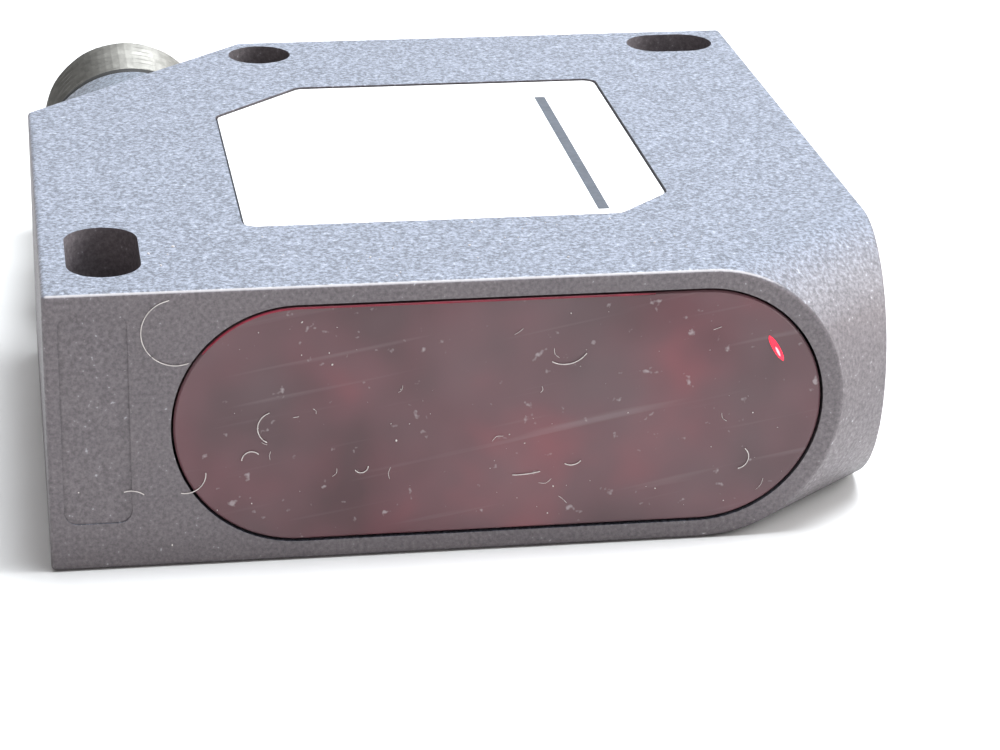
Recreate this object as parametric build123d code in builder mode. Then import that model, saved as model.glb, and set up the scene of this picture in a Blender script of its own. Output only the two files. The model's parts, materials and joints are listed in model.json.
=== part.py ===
from build123d import *
from math import hypot, sqrt
import os

os.makedirs("parts", exist_ok=True)

# The sensor lies on its mounting flank, which is z = 0. X runs from the foot end to the
# head end, Y from the optical front face to the back.

# Overall block
length = 50.0
depth = 50.0
thickness = 17.0
mid = thickness / 2
foot = -length / 2
head = length / 2
front = -depth / 2
back = depth / 2
edge_rounding = 0.3
touch_gap = 0.02

# Corner chamfer that carries the connector
corner_cut = 15.0
chamfer_wall = 2.6

# Rounded nose: a half round rim on the front face, drawn out obliquely to the head end
rim_x = 13.0
nose_run = head - rim_x
nose_rise = 10.0

# Window and its seat
window_left_x = -10.6
window_x = (rim_x + window_left_x) / 2
window_span = rim_x - window_left_x
recess_radius = 7.35
window_radius = 7.2
window_thickness = 2.0
seal_thickness = 0.4
tunnel_radius = 6.0
recess_depth = window_thickness + seal_thickness
window_bevel = 0.12
seal_inner_radius = tunnel_radius + 0.1

# Mounting holes
hole_diameter = 4.3
round_hole = (-8.7, 21.8)
front_slot = (-21.3, -18.0)
front_slot_length = 8.6
back_slot = (20.6, 21.8)
back_slot_length = 6.1

# Label recess on the upper flank
label_left = -12.7
label_right = 13.5
label_front = -14.4
label_back = 13.5
label_bevel_back = 5.9
label_bevel_front = 3.5
label_corner = 0.8
label_recess = 0.3
label_thickness = 0.2
label_gap = 0.15

# Shallow rectangle on the front face, beside the window
front_mark = (-22.2, 9.35)
front_mark_width = 3.9
front_mark_height = 12.9
front_mark_corner = 0.8
front_mark_depth = 0.08

# Main cavity, open at the mounting flank
side_wall = 2.0
top_wall = 1.5
cavity_front = -12.5
cavity_back = 16.6
cavity_top = thickness - top_wall
ledge_z = 2.0
ledge_width = 0.9

# Cover and its screws
cover_recess = 0.2
cover_seal_thickness = 0.5
cover_inner_z = ledge_z - cover_seal_thickness
cover_gap = 0.1
seat_clearance = 0.08
pillar_radius = 2.5
pillar_spots = [(-20.7, -7.0), (20.7, -7.0), (20.7, 14.3), (-20.7, 6.0)]
cover_screw_radius = 1.0
cover_screw_length = 6.0
cover_head_radius = 1.9
cover_head_height = 0.9
cover_cross = 2.2
cover_cross_width = 0.45

# Lens carrier
carrier_radius = 5.85
carrier_front = -22.3
carrier_back = -9.8
flange_thickness = 1.2
flange_back = cavity_front + flange_thickness
flange_height = 11.6
flange_left = -20.0
flange_right = 21.3
receiver_x = -6.0
emitter_x = 9.5
receiver_lens_radius = 5.2
emitter_lens_radius = 4.6
lens_rim = 1.2
lens_dome = 1.6
lens_back = -19.3
stake_spots = [(-13.8, mid), (16.3, mid)]
stake_radius = 0.6
stake_overhang = 0.4
flange_corner = 1.0
lens_seat_gap = 0.05
lens_ledge = 0.6
receiver_rear_radius = 3.2
emitter_rear_radius = 2.4
carrier_screw_spots = [(-17.0, 12.9), (19.4, 4.1)]
small_screw_radius = 0.8
small_head_radius = 1.4
small_head_height = 0.9
small_head_rounding = 0.35
small_screw_length = 4.0
pilot_depth = 4.6
screw_hole_gap = 0.1
small_cross = 1.6
small_cross_width = 0.35

# Boards
optics_board_thickness = 0.8
optics_board_x = 1.25
optics_board_length = 33.5
optics_board_height = 10.6
optics_board_corner = 0.6
optics_board_back = carrier_back + optics_board_thickness
board_bottom = 4.5
board_thickness = 1.0
board_top = board_bottom + board_thickness
board_left = -18.0
board_right = 18.0
board_front = -6.5
board_back = 16.0
board_cut = 9.8
board_tab_right = 21.3
board_tab_front = -4.0
board_tab_back = 11.0
board_corner = 0.5
board_post_spots = [(-15.3, -1.0), (15.3, 13.0)]
post_radius = 2.0

# Components on the two boards
photodiode_size = 4.0
photodiode_height = 1.2
photodiode_window = 2.6
photodiode_window_depth = 0.2
shield_z = 9.4
shield_length = 8.0
shield_width = 6.4
shield_height = 2.0
shield_sheet = 0.2
shield_corner = 0.4
emitter_led_radius = 1.5
emitter_led_height = 2.2
emitter_led_dome = 0.9
chip_edge = 0.15
controller_spot = (4.0, 4.0)
controller_size = 7.0
controller_height = 1.0
dot_offset = 2.4
dot_radius = 0.4
dot_depth = 0.1
driver_spot = (-6.5, 5.5)
driver_width = 5.0
driver_breadth = 4.0
driver_height = 1.5
capacitor_spot = (8.5, 12.0)
capacitor_base = 5.4
capacitor_base_corner = 0.6
capacitor_base_height = 0.8
capacitor_radius = 2.5
capacitor_height = 6.2
capacitor_rounding = 0.4
inductor_spot = (1.0, 12.2)
inductor_size = 4.0
inductor_corner = 0.8
inductor_height = 2.0
inductor_rounding = 0.3
chip_length = 1.6
chip_breadth = 0.8
chip_height = 0.6
left_chips_spot = (-7.5, -2.5)
left_chips_pitch = (2.2, 2.4)
right_chips_spot = (11.5, -1.0)
right_chips_pitch = (2.4, 1.8)
header_first_x = 3.0
header_pitch = 2.0
header_count = 5
header_front = -6.2
header_thickness = 1.2
header_length = 10.4
header_height = 2.4
header_bend_y = -4.5

# Sensitivity adjuster on the head end
adjuster_y = 6.0
adjuster_boss_x = 21.5
adjuster_boss_radius = 3.2
adjuster_shaft_radius = 1.8
adjuster_clearance = 0.05
adjuster_head_radius = 2.5
adjuster_head_x = head - 1.0
adjuster_head_gap = 0.1
adjuster_face_x = head - 0.1
adjuster_slot = 0.6
blade_width = 2.0
blade_thickness = 0.5
blade_reach = 0.5
clip_thickness = 0.4
trimmer_face_x = 20.0
rotor_face_x = 20.4
rotor_radius = 1.55
rotor_gap = 0.05
rotor_depth = 2.0
rotor_seat_depth = 2.1
rotor_slot_depth = 0.7
rotor_slot_length = 2 * rotor_radius + 0.2
trimmer_length = 3.2
trimmer_width = 6.0
trimmer_height = 6.0

# Indicator lights on the head end
light_spots_y = {"green": -2.6, "yellow": 0.8}
light_z = 7.0
light_radius = 1.2
light_flange_radius = 1.5
led_face_x = 20.4
led_length = 2.2
led_width = 1.6
led_height = 2.4
led_lens_radius = 0.6
led_lens_depth = 0.3
light_gap = 0.1
light_proud = 0.2
light_rounding = 0.3
light_flange_thickness = 0.6

# Connector swivel, seated on the corner chamfer and turning about its normal
pivot = (-17.6, 17.4, mid)
seat_gap = 0.15
swivel_bore_radius = 4.0
stem_clearance = 0.05
stem_radius = swivel_bore_radius - stem_clearance
stem_bore_radius = 2.6
stem_depth = 4.6
retainer_radius = 5.2
retainer_thickness = 0.75
retainer_gap = 0.1
retainer_bore_radius = 3.34
retainer_groove_radius = 3.3
retainer_groove_width = retainer_thickness + 0.06
retainer_mouth_x = 4.5
retainer_mouth_reach = 4.0
retainer_mouth_width = 2.0
pocket_radius = 6.0
pocket_reach = 12.0
elbow_radius = 7.0
neck_radius = 6.4
neck_end = 26.0
neck_bore_radius = 4.4
neck_bore_floor = 1.6
neck_rounding = 0.4
elbow_flange = 2.0
stem_bore_overrun = 2.6
groove_overcut = 0.5
ring_groove_width = 1.1

# M12 plug on the elbow
thread_radius = 6.0
thread_end = 36.0
thread_relief = 1.2
relief_radius = 5.3
cup_radius = 4.3
pin_circle = 2.5
contact_radius = 0.5
flange_lip = 0.5
thread_bevel = 0.5
sleeve_tail = 22.4
tail_bore_radius = 3.4
cup_floor = neck_end + 1.2
key_start = neck_end + 3.4
key_setback = 1.0
key_width = 1.0
key_height = 0.9
key_bite = 0.2
insert_tail = 21.2
insert_radius = 3.36
insert_gap = 0.03
insert_face_height = 1.6
insert_neck_overlap = 0.1
contact_hole_length = 12.0
contact_tail = 20.0
contact_setback = 1.4
contact_tip_rounding = 0.3
connector_ring_section = 0.45
connector_ring_radius = relief_radius + touch_gap + connector_ring_section
connector_ring_y = neck_end + flange_lip + thread_relief / 2

swivel_seat = Plane(origin=pivot, x_dir=(-1, -1, 0), z_dir=(-1, 1, 0))
connector_axis = Plane(origin=(pivot[0], 0, mid), x_dir=(1, 0, 0), z_dir=(0, 1, 0))


def across(y):
    """Plane across the sensor at depth y: sketch x is X, sketch y is Z, normal to the front."""
    return Plane(origin=(0, y, 0), x_dir=(1, 0, 0), z_dir=(0, -1, 0))


def facing_head(x):
    """Plane facing the head end: sketch x is Y, sketch y is Z."""
    return Plane(origin=(x, 0, 0), x_dir=(0, 1, 0), z_dir=(1, 0, 0))


def level(z):
    """Plane parallel to the mounting flank at height z."""
    return Plane(origin=(0, 0, z))


def obround(radius):
    """Obround of the window's shape, concentric with it, for an open sketch."""
    with Locations((window_x, mid)):
        SlotCenterToCenter(window_span, 2 * radius)


def label_outline(grow):
    """Label outline with two bevelled corners, grown by a gap all round."""
    with BuildSketch() as outline:
        with BuildLine():
            Polyline(
                (label_left, label_front),
                (label_right - label_bevel_front, label_front),
                (label_right, label_front + label_bevel_front),
                (label_right, label_back),
                (label_left + label_bevel_back, label_back),
                (label_left, label_back - label_bevel_back),
                close=True,
            )
        make_face()
        fillet(vertices(), label_corner)
        if grow > 0:
            offset(amount=grow, kind=Kind.ARC)
    return outline.sketch


def cavity_outline(grow):
    """Main cavity outline: square corners and one corner cut beside the connector."""
    cut_line = depth - corner_cut - chamfer_wall * sqrt(2)
    with BuildSketch() as outline:
        with BuildLine():
            Polyline(
                (foot + side_wall, cavity_front),
                (head - side_wall, cavity_front),
                (head - side_wall, cavity_back),
                (cavity_back - cut_line, cavity_back),
                (foot + side_wall, foot + side_wall + cut_line),
                close=True,
            )
        make_face()
        if grow > 0:
            offset(amount=grow, kind=Kind.INTERSECTION)
    return outline.sketch


# --------------------------------------------------------------------------- housing
with BuildPart() as housing:
    with BuildSketch():
        with BuildLine():
            Polyline(
                (foot, front),
                (rim_x, front),
                (head, front + nose_rise),
                (head, back),
                (foot + corner_cut, back),
                (foot, back - corner_cut),
                close=True,
            )
        make_face()
    extrude(amount=thickness)
    # nose, drawn out obliquely so that its ridge lines meet the head end
    with BuildSketch(across(front)):
        with Locations((rim_x / 2, mid)):
            Rectangle(rim_x, thickness)
        with Locations((rim_x, mid)):
            Circle(mid)
    extrude(amount=hypot(nose_run, nose_rise), dir=(nose_run, nose_rise, 0))
    split(bisect_by=facing_head(head), keep=Keep.BOTTOM)
    # every outer edge is slightly rounded
    flanks = faces().filter_by(Axis.Z)
    front_face = faces().filter_by(Axis.Y).sort_by(Axis.Y)[0]
    head_face = faces().filter_by(Axis.X).sort_by(Axis.X)[-1]
    block_edges = set(flanks.edges() + front_face.edges() + head_face.edges())
    block_edges.update(edges().filter_by(Axis.Z))
    fillet(block_edges, edge_rounding)
    # window recess, with the narrower tunnel for the lens carrier behind it
    with BuildSketch(across(front)):
        obround(recess_radius)
    extrude(amount=-recess_depth, mode=Mode.SUBTRACT)
    with BuildSketch(across(front)):
        obround(tunnel_radius)
    extrude(amount=-(cavity_front - front), mode=Mode.SUBTRACT)
    # main cavity and the rebate of the cover
    with BuildSketch(level(0)):
        add(cavity_outline(0))
    extrude(amount=cavity_top, mode=Mode.SUBTRACT)
    with BuildSketch(level(0)):
        add(cavity_outline(ledge_width))
    extrude(amount=ledge_z, mode=Mode.SUBTRACT)
    # pocket behind the connector
    with BuildSketch(swivel_seat.offset(-chamfer_wall)):
        Circle(pocket_radius)
    extrude(amount=-pocket_reach, mode=Mode.SUBTRACT)
    # screw pillars and board posts, hanging from the upper wall
    with BuildSketch(level(ledge_z)):
        with Locations(*pillar_spots):
            Circle(pillar_radius)
    extrude(amount=cavity_top - ledge_z)
    with BuildSketch(level(board_top)):
        with Locations(*board_post_spots):
            Circle(post_radius)
    extrude(amount=cavity_top - board_top)
    with BuildSketch(level(ledge_z)):
        with Locations(*pillar_spots):
            Circle(cover_screw_radius + touch_gap)
    extrude(amount=cover_screw_length, mode=Mode.SUBTRACT)
    with BuildSketch(level(board_top)):
        with Locations(*board_post_spots):
            Circle(small_screw_radius + touch_gap)
    extrude(amount=pilot_depth, mode=Mode.SUBTRACT)
    with BuildSketch(across(cavity_front)):
        with Locations(*carrier_screw_spots):
            Circle(small_screw_radius + touch_gap)
    extrude(amount=pilot_depth, mode=Mode.SUBTRACT)
    # mounting holes through the full thickness
    with BuildSketch(level(0)):
        with Locations(round_hole):
            Circle(hole_diameter / 2)
        with Locations(front_slot):
            SlotOverall(front_slot_length, hole_diameter, rotation=90)
        with Locations(back_slot):
            SlotOverall(back_slot_length, hole_diameter)
    extrude(amount=thickness, mode=Mode.SUBTRACT)
    # label recess and the shallow rectangle on the front face
    with BuildSketch(level(thickness)):
        add(label_outline(label_gap))
    extrude(amount=-label_recess, mode=Mode.SUBTRACT)
    with BuildSketch(across(front)):
        with Locations(front_mark):
            RectangleRounded(front_mark_width, front_mark_height, front_mark_corner)
    extrude(amount=-front_mark_depth, mode=Mode.SUBTRACT)
    # connector bore through the chamfer wall
    with BuildSketch(swivel_seat):
        Circle(swivel_bore_radius)
    extrude(amount=-chamfer_wall, mode=Mode.SUBTRACT)
    # adjuster boss, counterbore and bore in the head wall
    with BuildSketch(facing_head(adjuster_boss_x)):
        with Locations((adjuster_y, mid)):
            Circle(adjuster_boss_radius)
    extrude(amount=head - side_wall - adjuster_boss_x)
    with BuildSketch(facing_head(adjuster_boss_x)):
        with Locations((adjuster_y, mid)):
            Circle(adjuster_shaft_radius + adjuster_clearance)
    extrude(amount=head - adjuster_boss_x, mode=Mode.SUBTRACT)
    with BuildSketch(facing_head(adjuster_head_x)):
        with Locations((adjuster_y, mid)):
            Circle(adjuster_head_radius + adjuster_head_gap)
    extrude(amount=head - adjuster_head_x, mode=Mode.SUBTRACT)
    # holes of the two indicator lights
    with BuildSketch(facing_head(head)):
        with Locations(*[(y, light_z) for y in light_spots_y.values()]):
            Circle(light_radius + touch_gap)
    extrude(amount=-side_wall, mode=Mode.SUBTRACT)

# --------------------------------------------------------------------------- flank cover
with BuildPart() as flank_cover:
    with BuildSketch(level(cover_recess)):
        add(cavity_outline(ledge_width - cover_gap))
    extrude(amount=cover_inner_z - cover_recess)
    with BuildSketch(level(cover_recess)):
        with Locations(*pillar_spots):
            Circle(cover_screw_radius + screw_hole_gap)
    extrude(amount=cover_inner_z - cover_recess, mode=Mode.SUBTRACT)
    seat_edges = edges().filter_by(GeomType.CIRCLE).group_by(Axis.Z)[0]
    chamfer(seat_edges, cover_head_radius - cover_screw_radius - seat_clearance)

with BuildPart() as cover_seal:
    with BuildSketch(level(cover_inner_z)):
        add(cavity_outline(ledge_width - cover_gap))
        add(cavity_outline(0), mode=Mode.SUBTRACT)
        with Locations(*pillar_spots):
            Circle(pillar_radius + cover_gap)
        with Locations(*pillar_spots):
            Circle(cover_screw_radius + screw_hole_gap, mode=Mode.SUBTRACT)
    extrude(amount=cover_seal_thickness)

with BuildPart() as countersunk_screw:
    with BuildSketch(Plane.XZ):
        with BuildLine():
            Polyline(
                (0, 0),
                (cover_head_radius, 0),
                (cover_screw_radius, cover_head_height),
                (cover_screw_radius, cover_screw_length),
                (0, cover_screw_length),
                close=True,
            )
        make_face()
    revolve(axis=Axis.Z)
    with BuildSketch():
        Rectangle(cover_cross, cover_cross_width)
        Rectangle(cover_cross_width, cover_cross)
    extrude(amount=cover_cross_width, mode=Mode.SUBTRACT)

with BuildPart() as cover_screws:
    with Locations(*[(x, y, cover_recess + touch_gap) for x, y in pillar_spots]):
        add(countersunk_screw.part)

# --------------------------------------------------------------------------- window
with BuildPart() as front_window:
    with BuildSketch(across(front)):
        obround(window_radius)
    extrude(amount=-window_thickness)
    chamfer(faces().sort_by(Axis.Y)[0].edges(), window_bevel)

with BuildPart() as window_seal:
    with BuildSketch(across(front + window_thickness)):
        obround(window_radius)
        with Locations((window_x, mid)):
            SlotCenterToCenter(window_span, 2 * seal_inner_radius, mode=Mode.SUBTRACT)
    extrude(amount=-seal_thickness)

# --------------------------------------------------------------------------- optics
with BuildPart() as lens_carrier:
    with BuildSketch(across(carrier_front)):
        obround(carrier_radius)
    extrude(amount=-(carrier_back - carrier_front))
    with BuildSketch(across(cavity_front)):
        with Locations(((flange_left + flange_right) / 2, mid)):
            RectangleRounded(flange_right - flange_left, flange_height, flange_corner)
    extrude(amount=-flange_thickness)
    # one tunnel for each lens, narrowing towards the board
    for lens_x, lens_radius, rear_radius in (
        (receiver_x, receiver_lens_radius, receiver_rear_radius),
        (emitter_x, emitter_lens_radius, emitter_rear_radius),
    ):
        with BuildSketch(across(carrier_front)):
            with Locations((lens_x, mid)):
                Circle(lens_radius + lens_seat_gap)
        extrude(amount=-(lens_back - carrier_front), mode=Mode.SUBTRACT)
        with BuildSketch(across(lens_back)):
            with Locations((lens_x, mid)):
                Circle(lens_radius - lens_ledge)
        with BuildSketch(across(carrier_back)):
            with Locations((lens_x, mid)):
                Circle(rear_radius)
        loft(mode=Mode.SUBTRACT)
    with BuildSketch(across(flange_back)):
        with Locations(*carrier_screw_spots):
            Circle(small_screw_radius + screw_hole_gap)
    extrude(amount=flange_thickness, mode=Mode.SUBTRACT)
    with BuildSketch(across(carrier_back)):
        with Locations(*stake_spots):
            Circle(stake_radius)
    extrude(amount=-(optics_board_thickness + stake_overhang))


def lens_profile(radius):
    """Half section of a flat-backed lens, for revolving about its own axis."""
    sphere_radius = (radius**2 + lens_dome**2) / (2 * lens_dome)
    with BuildSketch() as section:
        with BuildLine():
            Line((0, 0), (radius, 0))
            Line((radius, 0), (radius, lens_rim))
            RadiusArc((radius, lens_rim), (0, lens_rim + lens_dome), -sphere_radius)
            Line((0, lens_rim + lens_dome), (0, 0))
        make_face()
    return section.sketch


with BuildPart() as receiver_lens:
    with BuildSketch(Plane(origin=(receiver_x, lens_back, mid), x_dir=(1, 0, 0), z_dir=(0, 0, -1))):
        add(lens_profile(receiver_lens_radius))
    revolve(axis=Axis((receiver_x, 0, mid), (0, 1, 0)))

with BuildPart() as emitter_lens:
    with BuildSketch(Plane(origin=(emitter_x, lens_back, mid), x_dir=(1, 0, 0), z_dir=(0, 0, -1))):
        add(lens_profile(emitter_lens_radius))
    revolve(axis=Axis((emitter_x, 0, mid), (0, 1, 0)))

with BuildPart() as pan_screw:
    with BuildSketch():
        Circle(small_head_radius)
    extrude(amount=-small_head_height)
    fillet(faces().sort_by(Axis.Z)[0].edges(), small_head_rounding)
    with BuildSketch():
        Circle(small_screw_radius)
    extrude(amount=small_screw_length)
    with BuildSketch(level(-small_head_height)):
        Rectangle(small_cross, small_cross_width)
        Rectangle(small_cross_width, small_cross)
    extrude(amount=small_cross_width, mode=Mode.SUBTRACT)

with BuildPart() as carrier_screws:
    for x, z in carrier_screw_spots:
        with Locations(Plane(origin=(x, flange_back, z), z_dir=(0, -1, 0))):
            add(pan_screw.part)

with BuildPart() as optics_board:
    with BuildSketch(across(carrier_back)):
        with Locations((optics_board_x, mid)):
            RectangleRounded(optics_board_length, optics_board_height, optics_board_corner)
        with Locations(*stake_spots):
            Circle(stake_radius + lens_seat_gap, mode=Mode.SUBTRACT)
    extrude(amount=-optics_board_thickness)

with BuildPart() as photodiode:
    with BuildSketch(across(carrier_back)):
        with Locations((receiver_x, mid)):
            Rectangle(photodiode_size, photodiode_size)
    extrude(amount=photodiode_height)
    with BuildSketch(across(carrier_back - photodiode_height)):
        with Locations((receiver_x, mid)):
            Rectangle(photodiode_window, photodiode_window)
    extrude(amount=-photodiode_window_depth, mode=Mode.SUBTRACT)

with BuildPart() as receiver_shield:
    with BuildSketch(across(optics_board_back)):
        with Locations((receiver_x, shield_z)):
            RectangleRounded(shield_length, shield_width, shield_corner)
    extrude(amount=-shield_height)
    offset(amount=-shield_sheet, openings=faces().sort_by(Axis.Y)[0])

with BuildPart() as emitter_led:
    with BuildSketch(across(carrier_back)):
        with Locations((emitter_x, mid)):
            Circle(emitter_led_radius)
    extrude(amount=emitter_led_height)
    fillet(faces().sort_by(Axis.Y)[0].edges(), emitter_led_dome)

# --------------------------------------------------------------------------- main board
with BuildPart() as main_board:
    with BuildSketch(level(board_bottom)):
        with BuildLine():
            Polyline(
                (board_left, board_front),
                (board_right, board_front),
                (board_right, board_tab_front),
                (board_tab_right, board_tab_front),
                (board_tab_right, board_tab_back),
                (board_right, board_tab_back),
                (board_right, board_back),
                (board_left + board_cut, board_back),
                (board_left, board_back - board_cut),
                close=True,
            )
        make_face()
        fillet(vertices(), board_corner)
        with Locations(*board_post_spots):
            Circle(small_screw_radius + screw_hole_gap, mode=Mode.SUBTRACT)
    extrude(amount=board_thickness)

with BuildPart() as board_screws:
    for x, y in board_post_spots:
        with Locations((x, y, board_bottom)):
            add(pan_screw.part)


def chip_outline(x, y, width, breadth):
    """Rectangle for a component on the board's upper face."""
    with Locations((x, y)):
        Rectangle(width, breadth)


with BuildPart() as microcontroller:
    with BuildSketch(level(board_top)):
        chip_outline(*controller_spot, controller_size, controller_size)
    extrude(amount=controller_height)
    chamfer(faces().sort_by(Axis.Z)[-1].edges(), chip_edge)
    # dot beside the first contact
    with BuildSketch(level(board_top + controller_height)):
        with Locations((controller_spot[0] - dot_offset, controller_spot[1] + dot_offset)):
            Circle(dot_radius)
    extrude(amount=-dot_depth, mode=Mode.SUBTRACT)

with BuildPart() as output_driver:
    with BuildSketch(level(board_top)):
        chip_outline(*driver_spot, driver_width, driver_breadth)
    extrude(amount=driver_height)
    chamfer(faces().sort_by(Axis.Z)[-1].edges(), chip_edge)

with BuildPart() as smoothing_capacitor:
    with BuildSketch(level(board_top)):
        with Locations(capacitor_spot):
            RectangleRounded(capacitor_base, capacitor_base, capacitor_base_corner)
    extrude(amount=capacitor_base_height)
    with BuildSketch(level(board_top)):
        with Locations(capacitor_spot):
            Circle(capacitor_radius)
    extrude(amount=capacitor_height)
    fillet(faces().sort_by(Axis.Z)[-1].edges(), capacitor_rounding)

with BuildPart() as inductor:
    with BuildSketch(level(board_top)):
        with Locations(inductor_spot):
            RectangleRounded(inductor_size, inductor_size, inductor_corner)
    extrude(amount=inductor_height)
    fillet(faces().sort_by(Axis.Z)[-1].edges(), inductor_rounding)

with BuildPart() as chip_parts:
    with BuildSketch(level(board_top)):
        with Locations(left_chips_spot):
            with GridLocations(*left_chips_pitch, 2, 2):
                Rectangle(chip_length, chip_breadth)
        with Locations(right_chips_spot):
            with GridLocations(*right_chips_pitch, 2, 4):
                Rectangle(chip_length, chip_breadth)
    extrude(amount=chip_height)

header_xs = [header_first_x + header_pitch * step for step in range(header_count)]
header_middle_x = sum(header_xs) / header_count
header_z = 7.0
header_pin = 0.5

with BuildPart() as header_block:
    with BuildSketch(level(board_top)):
        chip_outline(header_middle_x, header_front + header_thickness / 2, header_length, header_thickness)
    extrude(amount=header_height)
    with BuildSketch(across(header_front)):
        with Locations(*[(x, header_z) for x in header_xs]):
            Rectangle(header_pin + 2 * touch_gap, header_pin + 2 * touch_gap)
    extrude(amount=-header_thickness, mode=Mode.SUBTRACT)

with BuildPart() as header_pins:
    for x in header_xs:
        with BuildSketch(Plane(origin=(x, 0, 0), x_dir=(0, 1, 0), z_dir=(1, 0, 0))):
            with BuildLine():
                Polyline(
                    (optics_board_back, header_z - header_pin / 2),
                    (header_bend_y - header_pin, header_z - header_pin / 2),
                    (header_bend_y - header_pin, board_top),
                    (header_bend_y, board_top),
                    (header_bend_y, header_z + header_pin / 2),
                    (optics_board_back, header_z + header_pin / 2),
                    close=True,
                )
            make_face()
        extrude(amount=header_pin / 2, both=True)

# --------------------------------------------------------------------------- indicators
green_y = light_spots_y["green"]
light_step = light_spots_y["yellow"] - green_y

with BuildPart() as green_led:
    with BuildSketch(level(board_top)):
        chip_outline(led_face_x - led_length / 2, green_y, led_length, led_width)
    extrude(amount=led_height)
    with BuildSketch(facing_head(led_face_x)):
        with Locations((green_y, light_z)):
            Circle(led_lens_radius)
    extrude(amount=-led_lens_depth, mode=Mode.SUBTRACT)

with BuildPart() as yellow_led:
    with Locations((0, light_step, 0)):
        add(green_led.part)

with BuildPart() as green_light_guide:
    with BuildSketch(facing_head(led_face_x + light_gap)):
        with Locations((green_y, light_z)):
            Circle(light_radius)
    extrude(amount=head + light_proud - led_face_x - light_gap)
    fillet(faces().sort_by(Axis.X)[-1].edges(), light_rounding)
    with BuildSketch(facing_head(head - side_wall - light_flange_thickness)):
        with Locations((green_y, light_z)):
            Circle(light_flange_radius)
    extrude(amount=light_flange_thickness)

with BuildPart() as yellow_light_guide:
    with Locations((0, light_step, 0)):
        add(green_light_guide.part)

# --------------------------------------------------------------------------- adjuster
adjuster_axis = Axis((0, adjuster_y, mid), (1, 0, 0))
clip_left = adjuster_boss_x - adjuster_clearance - clip_thickness
adjuster_section = Plane(origin=(0, adjuster_y, mid), x_dir=(1, 0, 0), z_dir=(0, -1, 0))
groove_radius = 1.2
seal_x = 22.8
seal_section = 0.28
seal_groove = 1.0
seal_mean = groove_radius + touch_gap + seal_section
clip_radius = 2.5
clip_mouth_width = 1.6
clip_mouth_reach = 4.0
shaft_overrun = 0.35
head_seat_gap = 0.05
shaft_end = clip_left - shaft_overrun

with BuildPart() as adjuster_screw:
    with BuildSketch(adjuster_section):
        with BuildLine():
            Polyline(
                (shaft_end, 0),
                (shaft_end, adjuster_shaft_radius),
                (clip_left - touch_gap, adjuster_shaft_radius),
                (clip_left - touch_gap, groove_radius),
                (clip_left + clip_thickness + touch_gap, groove_radius),
                (clip_left + clip_thickness + touch_gap, adjuster_shaft_radius),
                (seal_x - seal_groove / 2, adjuster_shaft_radius),
                (seal_x - seal_groove / 2, groove_radius),
                (seal_x + seal_groove / 2, groove_radius),
                (seal_x + seal_groove / 2, adjuster_shaft_radius),
                (adjuster_head_x + head_seat_gap, adjuster_shaft_radius),
                (adjuster_head_x + head_seat_gap, adjuster_head_radius),
                (adjuster_face_x, adjuster_head_radius),
                (adjuster_face_x, 0),
                close=True,
            )
        make_face()
    revolve(axis=adjuster_axis)
    with BuildSketch(facing_head(adjuster_face_x)):
        with Locations((adjuster_y, mid)):
            Rectangle(2 * adjuster_shaft_radius, adjuster_slot)
    extrude(amount=-adjuster_slot, mode=Mode.SUBTRACT)
    # blade that enters the trimmer's slot
    with BuildSketch(facing_head(rotor_face_x - blade_reach)):
        with Locations((adjuster_y, mid)):
            Rectangle(blade_width, blade_thickness)
    extrude(amount=shaft_end - rotor_face_x + blade_reach)

with BuildPart() as adjuster_seal:
    with BuildSketch(adjuster_section):
        with Locations((seal_x, seal_mean)):
            Circle(seal_section)
    revolve(axis=adjuster_axis)

with BuildPart() as adjuster_clip:
    with BuildSketch(facing_head(clip_left)):
        with Locations((adjuster_y, mid)):
            Circle(clip_radius)
            Circle(groove_radius + touch_gap, mode=Mode.SUBTRACT)
            with Locations((clip_mouth_reach / 2, 0)):
                Rectangle(clip_mouth_reach, clip_mouth_width, mode=Mode.SUBTRACT)
    extrude(amount=clip_thickness)

with BuildPart() as trimmer_body:
    with BuildSketch(level(board_top)):
        chip_outline(trimmer_face_x - trimmer_length / 2, adjuster_y, trimmer_length, trimmer_width)
    extrude(amount=trimmer_height)
    with BuildSketch(facing_head(trimmer_face_x)):
        with Locations((adjuster_y, mid)):
            Circle(rotor_radius + rotor_gap)
    extrude(amount=-rotor_seat_depth, mode=Mode.SUBTRACT)

with BuildPart() as trimmer_rotor:
    with BuildSketch(facing_head(rotor_face_x)):
        with Locations((adjuster_y, mid)):
            Circle(rotor_radius)
    extrude(amount=-(rotor_face_x - trimmer_face_x + rotor_depth))
    with BuildSketch(facing_head(rotor_face_x)):
        with Locations((adjuster_y, mid)):
            Rectangle(rotor_slot_length, adjuster_slot)
    extrude(amount=-rotor_slot_depth, mode=Mode.SUBTRACT)

# --------------------------------------------------------------------------- connector
ring_depth = 1.4
ring_groove_radius = 3.05
ring_section = 0.42
retainer_front = chamfer_wall + retainer_gap

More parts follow.
